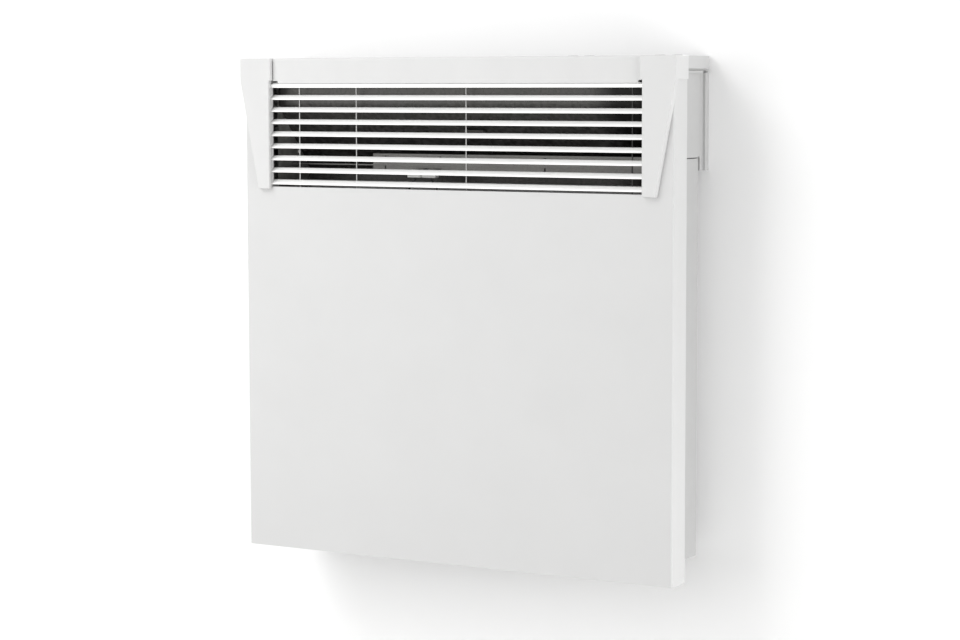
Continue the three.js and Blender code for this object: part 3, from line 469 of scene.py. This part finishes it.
# Outer faces that the screws stand on: the chassis back and the underside of its floor.
BACK = 68
FLOOR_UNDER = 17.4
SCREWS = {
    "screw_bracket": [(x, BACK, z, (0, 1, 0)) for x in (-176, 176) for z in (98, 122)],
    "screw_shield": [(x, BACK, z, (0, 1, 0)) for x in (-140, 140) for z in (80, 300)],
    "screw_floor": [(x, y, FLOOR_UNDER, (0, 0, -1)) for x in (-199, 199) for y in (24, 58)],
}
for kind, places in SCREWS.items():
    for i, (x, y, z, normal) in enumerate(places):
        at = toward(normal, place(x, y, z)) @ Matrix.Rotation(math.radians(37 * i + 11), 4, "Z")
        instance(f"{kind}_{i + 1}", HEAD, ZINC_SCREW, "heater", at)


RAIL_EDGE = {"left": -101, "right": 190, "y": 35.5, "half": 0.5, "low": 348.6, "high": 353.0}
RAIL_MARKS = {"xs": (-88, 76, 161), "half": 0.8}


def box_in(bm, x, y, z, bevel):
    """Box in a piece's mesh; x, y and z are (low, high)."""
    outline = bar((x[0] + x[1]) / 2, (y[0] + y[1]) / 2, (x[1] - x[0]) / 2, (y[1] - y[0]) / 2)
    slab(bm, outline, z[0], z[1], bevel)


def strip(name, x, y, z, material, bevel):
    bm = bmesh.new()
    box_in(bm, x, y, z, bevel)
    piece(name, bm, material, "heater")


def rail_skirt():
    """Lower edge of the slotted rail behind the grille, parted at its slots."""
    bm = bmesh.new()
    sides = (-RAIL_MARKS["half"], RAIL_MARKS["half"])
    cuts = [RAIL_EDGE["left"]] + [x + side for x in RAIL_MARKS["xs"] for side in sides] + [RAIL_EDGE["right"]]
    for start, stop in zip(cuts[::2], cuts[1::2]):
        outline = bar((start + stop) / 2, RAIL_EDGE["y"], (stop - start) / 2, RAIL_EDGE["half"])
        slab(bm, outline, RAIL_EDGE["low"], RAIL_EDGE["high"])
    # Its zinc is darkened as painted shade.
    piece("rail_skirt", bm, RAIL_ZINC_PAINTED_SHADE, "heater")


rail_skirt()


# Foam strips inside the seams between cheek and chassis and under the top cover.
SEALS = {
    "seam_seal": {"x": (205.6, 206.6), "y": (25, 68), "z": (360.5, 366), "material": MATERIALS["foot"]},
    "cover_seal": {"x": (208.8, 210.6), "y": (23, 79), "z": (437.8, 439.9), "material": COVER_SEAL},
}
for word, side in (("left", -1), ("right", 1)):
    for kind, seal in SEALS.items():
        across = sorted(side * x for x in seal["x"])
        strip(f"{kind}_{word}", across, seal["y"], seal["z"], seal["material"], 0.15)

# Inner lip along the lower edge of the top trim, between its end notches.
# Its blade white is partly painted light, as on the blades.
strip("trim_lip", (-180.8, 183.2), (1.35, 2.35), (426.8, 430), MATERIALS["blade_white"], 0.1)

# Push rivet on the left duct end, seen through the grille.
instance("duct_rivet", screw_mesh(1.5 * MM, 1.4 * MM), MATERIALS["sleeve"], "heater",
         toward((1, 0, 0), place(-190.4, 47.5, 364.5)))

# ---------------------------------------------------------------- display and button marks
COVER_TOP = 450.3
PANE_TOP = COVER_TOP - 0.2
DIGIT = {"width": 5.2, "height": 10.0, "stroke": 1.1, "gap": 0.25, "foot": 45, "half": 0.05}
SIGNS = (("2", 140.5), ("1", 148.5))
RING = {"x": 155, "y": 54, "radius": 1.1, "width": 0.5}
# Each segment's middle, as shares of half the width and of the height, and its direction.
SHOWN = {"a": ((0, 1), "across"), "b": ((1, 0.75), "up"), "c": ((1, 0.25), "up"), "d": ((0, 0), "across"),
         "e": ((-1, 0.25), "up"), "g": ((0, 0.5), "across")}
DIGITS = {"2": "abged", "1": "bc"}


def segment(bm, x, y, length, stroke, direction, low, high):
    """One hexagonal segment of a digit."""
    half, thick = length / 2, stroke / 2
    outline = [(-half, 0), (-half + thick, -thick), (half - thick, -thick), (half, 0), (half - thick, thick),
               (-half + thick, thick)]
    if direction == "up":
        outline = [(-v, u) for u, v in outline]
    slab(bm, [(x + u, y + v) for u, v in outline], low, high)


def display_digits():
    """The shown temperature and the ring of its degree sign, half sunk in the pane."""
    bm = bmesh.new()
    width, height, half = DIGIT["width"], DIGIT["height"], DIGIT["half"]
    for sign, middle in SIGNS:
        for key in DIGITS[sign]:
            (side, rise), direction = SHOWN[key]
            length = (width if direction == "across" else height / 2) - DIGIT["gap"]
            segment(bm, middle + side * width / 2, DIGIT["foot"] + rise * height, length, DIGIT["stroke"],
                    direction, -half, half)
    ring = [(RING["x"] + x, RING["y"] + y) for x, y in arc_band(RING["radius"], RING["width"], 0, 360, 20)]
    band(bm, ring, -half, half)
    piece("display_digits", bm, SEGMENT, "heater", Matrix.Translation(place(0, 0, PANE_TOP)))


display_digits()

BUTTON_Y = 50
MARK_LOW, MARK_HIGH = 450.8, 451.16
BUTTON_X = {"power": 96, "down": 112, "up": 180, "mode": 196}


def button_mark(word):
    """Raised mark on a button: an open ring with a bar, three bars, a minus or a plus."""
    bm = bmesh.new()
    height, bevel = MARK_HIGH - MARK_LOW, 0.05
    if word == "power":
        band(bm, arc_band(1.9, 0.5, -235, 55, 22), 0, height)
        slab(bm, bar(0, 1.7, 0.25, 1.0), 0, height, bevel)
    elif word == "mode":
        for y in (-1.4, 0, 1.4):
            slab(bm, bar(0, y, 1.7, 0.28), 0, height, bevel)
    else:
        slab(bm, bar(0, 0, 1.8, 0.3), 0, height, bevel)
        if word == "up":
            slab(bm, bar(0, 0, 0.3, 1.8), 0, height - 0.01, bevel)
    at = Matrix.Translation(place(BUTTON_X[word], BUTTON_Y, MARK_LOW))
    piece(f"mark_{word}", bm, MARKING, f"{word}_button", at)


for word in BUTTON_X:
    button_mark(word)


# ---------------------------------------------------------------- switch marks and gland ribs
SWITCH = {"x": 150, "y": 40, "pivot": 24, "tilt": 8}
ROCKER_FACES = {"on": ((-6.2, -8.2), (0, -9.6)), "off": ((0, -9.6), (6.2, -8.2))}


def switch_mark(word):
    """Bar or ring on one face of the rocker, which rests tilted."""
    (x0, z0), (x1, z1) = ROCKER_FACES[word]
    middle = Vector(((x0 + x1) / 2, 0, (z0 + z1) / 2))
    outward = Vector((z1 - z0, 0, x0 - x1)).normalized()
    bm = bmesh.new()
    if word == "on":
        slab(bm, bar(0, 0, 0.3, 1.6), -0.05, 0.12, 0.04)
    else:
        band(bm, arc_band(1.4, 0.5, 0, 360, 24), -0.05, 0.12)
    tilt = Matrix.Rotation(math.radians(SWITCH["tilt"]), 4, "Y")
    pivot = Matrix.Translation(place(SWITCH["x"], SWITCH["y"], SWITCH["pivot"]))
    at = pivot @ tilt @ toward(outward, middle * MM)
    piece(f"mark_{word}", bm, MATERIALS["sleeve"], "mains_rocker", at)


for word in ROCKER_FACES:
    switch_mark(word)


GLAND = {"x": 186, "y": 46, "foot": 8.0, "height": 8.6, "radius": 7.55, "ribs": 24}


def gland_ribs():
    """Grip ribs round the cable gland's nut."""
    bm = bmesh.new()
    for i in range(GLAND["ribs"]):
        turn = Matrix.Rotation(2 * math.pi * i / GLAND["ribs"], 4, "Z")
        start = len(bm.verts)
        slab(bm, bar(GLAND["radius"], 0, 0.35, 0.4), 0, GLAND["height"], 0.1)
        bm.verts.ensure_lookup_table()
        for vert in bm.verts[start:]:
            vert.co = turn @ vert.co
    piece("gland_ribs", bm, MATERIALS["dark_plastic"], "heater",
          Matrix.Translation(place(GLAND["x"], GLAND["y"], GLAND["foot"])))


gland_ribs()


# ---------------------------------------------------------------- stage
def one_sided(name, colour):
    """Matt paint seen from its front only, so that a view from behind still shows the object."""
    n = Nodes(name)
    tone = n.blend(n.noise(0.3), tinted(colour, 0.997), colour)
    clear = n.add("ShaderNodeBsdfTransparent")
    mix = n.add("ShaderNodeMixShader")
    behind = n.add("ShaderNodeNewGeometry").outputs["Backfacing"]
    n.link(behind, mix.inputs[0])
    n.link(n.shader.outputs[0], mix.inputs[1])
    n.link(clear.outputs[0], mix.inputs[2])
    n.link(mix.outputs[0], n.tree.nodes["Material Output"].inputs["Surface"])
    return n.finish(tone, Roughness=0.9, Specular_IOR_Level=0.0)


def stage_plane(name, corners, colour):
    mesh = bpy.data.meshes.new(name)
    mesh.from_pydata(corners, [], [(0, 1, 2, 3)])
    mesh.materials.append(one_sided(name, colour))
    made = bpy.data.objects.new(name, mesh)
    made.visible_shadow = False
    scene.collection.objects.link(made)


# The room in metres: half its width, its depth in front of the wall, its floor and the wall's top.
HALF, DEPTH, LOW, HIGH = 4, 5, -1.25, 2.6
WALL_FRONT = 0.0005
stage_plane("wall", [(-HALF, WALL_FRONT, LOW), (HALF, WALL_FRONT, LOW), (HALF, WALL_FRONT, HIGH),
                     (-HALF, WALL_FRONT, HIGH)], (0.93, 0.93, 0.93))
stage_plane("floor", [(-HALF, -DEPTH, LOW), (HALF, -DEPTH, LOW), (HALF, WALL_FRONT, LOW),
                      (-HALF, WALL_FRONT, LOW)], (0.76, 0.76, 0.75))

world = bpy.data.worlds.new("studio")
scene.world = world
world.use_nodes = True
tree = world.node_tree
background = tree.nodes["Background"]
background.inputs["Color"].default_value = (1, 1, 1, 1)
# Full strength for rays that the camera sees, less for the light that falls on things.
seen = tree.nodes.new("ShaderNodeLightPath")
strength = tree.nodes.new("ShaderNodeMapRange")
strength.inputs["To Min"].default_value = 0.627
strength.inputs["To Max"].default_value = 1.0
direct = seen.outputs["Is Camera Ray"]
for ray in ("Is Glossy Ray", "Is Transmission Ray"):
    either = tree.nodes.new("ShaderNodeMath")
    either.operation = "MAXIMUM"
    tree.links.new(direct, either.inputs[0])
    tree.links.new(seen.outputs[ray], either.inputs[1])
    direct = either.outputs[0]
tree.links.new(direct, strength.inputs["Value"])
tree.links.new(strength.outputs["Result"], background.inputs["Strength"])


AIM = Vector((0, -0.05, -0.15))


def stage_light(name, light, at, behind):
    """Light at a point, shining away from the direction behind it."""
    made = bpy.data.objects.new(name, light)
    made.matrix_world = toward(behind, at)
    scene.collection.objects.link(made)


def area_light(name, at, size, power):
    light = bpy.data.lights.new(name, "AREA")
    light.size = size
    light.energy = power
    stage_light(name, light, at, at - AIM)


def round_object(azimuth, elevation, distance):
    """Point seen from the object at an azimuth right of its front and an elevation, in degrees."""
    a, e = math.radians(azimuth), math.radians(elevation)
    direction = Vector((math.sin(a) * math.cos(e), -math.cos(a) * math.cos(e), math.sin(e)))
    return AIM + direction * distance


area_light("key_light", round_object(-36, 6, 1.1), 1.0, 4.5)
area_light("high_light", round_object(-40, 45, 2.3), 1.2, 20.0)
area_light("fill_light", round_object(72, -12, 1.8), 1.0, 13.6)

# Weak sun from behind for the heater's back.
rear = bpy.data.lights.new("rear_light", "SUN")
rear.energy = 0.9
rear.angle = math.radians(8)
stage_light("rear_light", rear, Vector((-1, 1.5, 0)), (-0.15, 1, 0.25))

# ---------------------------------------------------------------- camera
view = bpy.data.cameras.new("camera")
view.lens = 93.705
view.sensor_width = 36
view.clip_end = 50
camera = bpy.data.objects.new("camera", view)
EYE = (1.1073, -1.9805, 0.0345)
YAW, PITCH, ROLL = math.radians(29.569), math.radians(5.443), math.radians(-0.1324)
camera.matrix_world = (
    Matrix.Translation(EYE)
    @ Matrix.Rotation(YAW, 4, "Z")
    @ Matrix.Rotation(math.pi / 2 - PITCH, 4, "X")
    @ Matrix.Rotation(ROLL, 4, "Z")
)
scene.collection.objects.link(camera)
scene.camera = camera
scene.view_settings.view_transform = "Standard"
